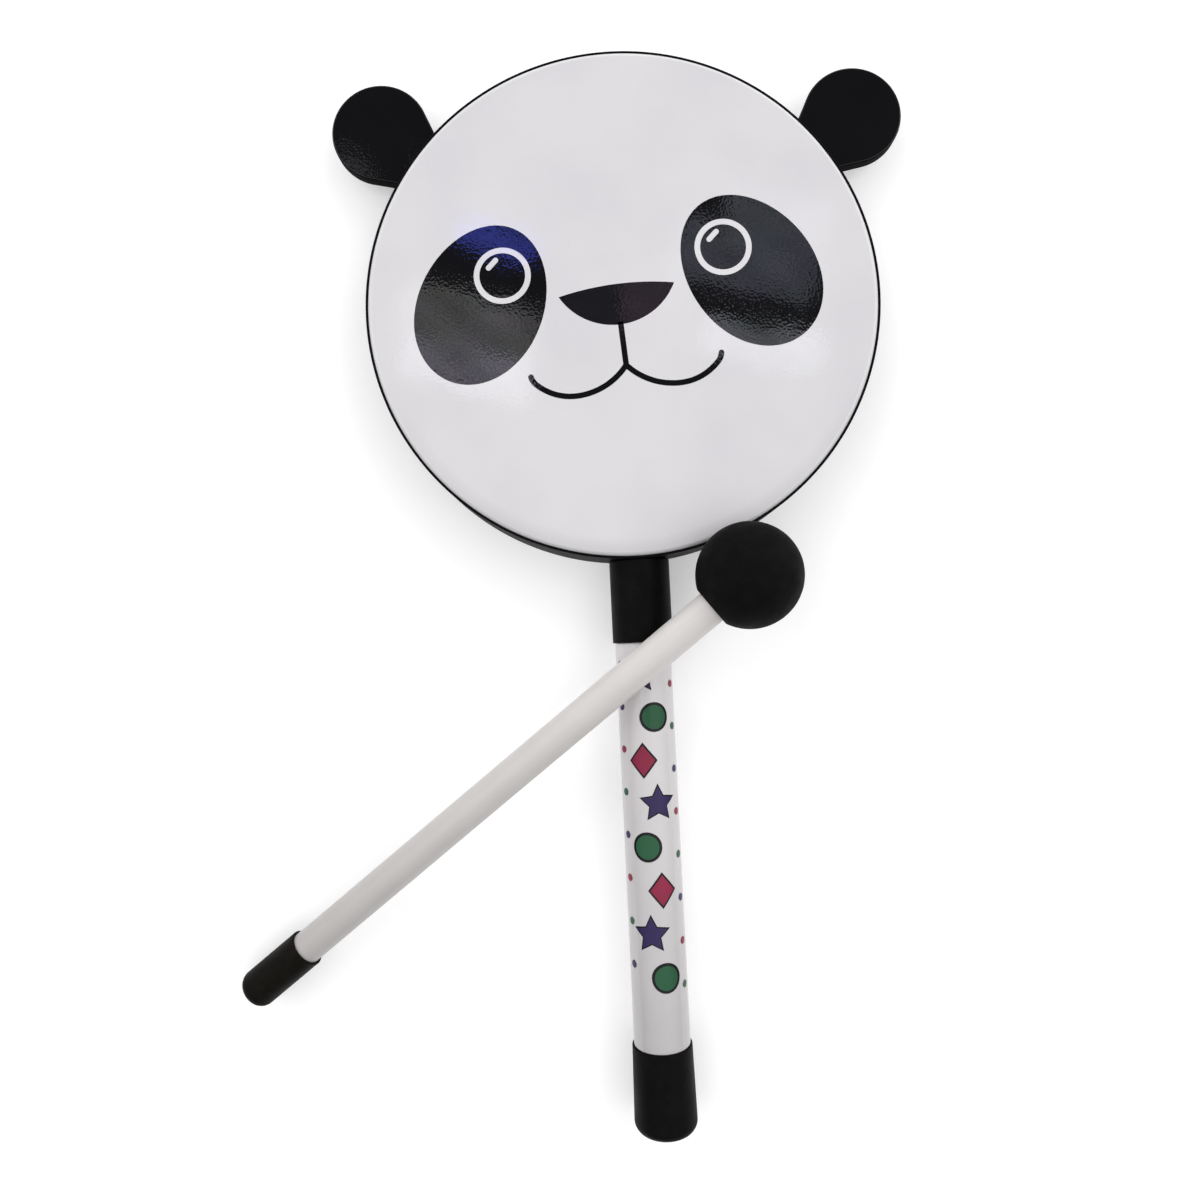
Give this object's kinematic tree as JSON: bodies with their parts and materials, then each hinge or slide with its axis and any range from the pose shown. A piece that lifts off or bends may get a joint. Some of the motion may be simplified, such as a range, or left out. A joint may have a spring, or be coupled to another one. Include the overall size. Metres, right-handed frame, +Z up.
{
  "type": "lollipop drum",
  "caption": "Round single-headed hand drum with disc ears and an animal face, on a straight tube handle, with a ball-headed mallet lying across the handle.",
  "frame": {"origin": "on the table the drum lies on, under the middle of the box of drum and mallet together", "axes": "+Z up, out of the drum's face; +Y from the handle's end towards the top of the head; +X to the right of the face as it is looked at"},
  "size_m": [0.2782, 0.421, 0.0563],
  "materials": {
    "bare_wood": "bare sanded poplar",
    "head_film": "glossy white film, faintly dimpled, printed in black",
    "band_black": "satin black strip",
    "ear_black": "board under glossy black film",
    "tube_white": "white extruded tube",
    "sleeve_film": "glossy white printed film",
    "handle_rubber": "satin black moulded rubber",
    "ball_rubber": "matt black moulded rubber",
    "stick_white": "satin white plastic",
    "screw_steel": "zinc-plated"
  },
  "bodies": {
    "drum": {"shell_hoop": "bare_wood", "drum_head": "head_film", "rim_band": "band_black", "left_ear": "ear_black", "right_ear": "ear_black", "left_ear_screw_1": "screw_steel", "left_ear_screw_2": "screw_steel", "right_ear_screw_1": "screw_steel", "right_ear_screw_2": "screw_steel", "handle_tube": "tube_white", "handle_sleeve": "sleeve_film", "handle_collar": "handle_rubber", "handle_end_cap": "handle_rubber", "handle_plug": "bare_wood", "handle_screw": "screw_steel", "handle_washer": "screw_steel"},
    "mallet": {"mallet_stick": "stick_white", "mallet_ball": "ball_rubber", "mallet_tail_cap": "handle_rubber"}
  },
  "joints": [
    {"name": "mallet_lift", "type": "slide", "parent": "drum", "child": "mallet", "axis": [0, 0, 1], "range_m": [0, 0.15]}
  ]
}
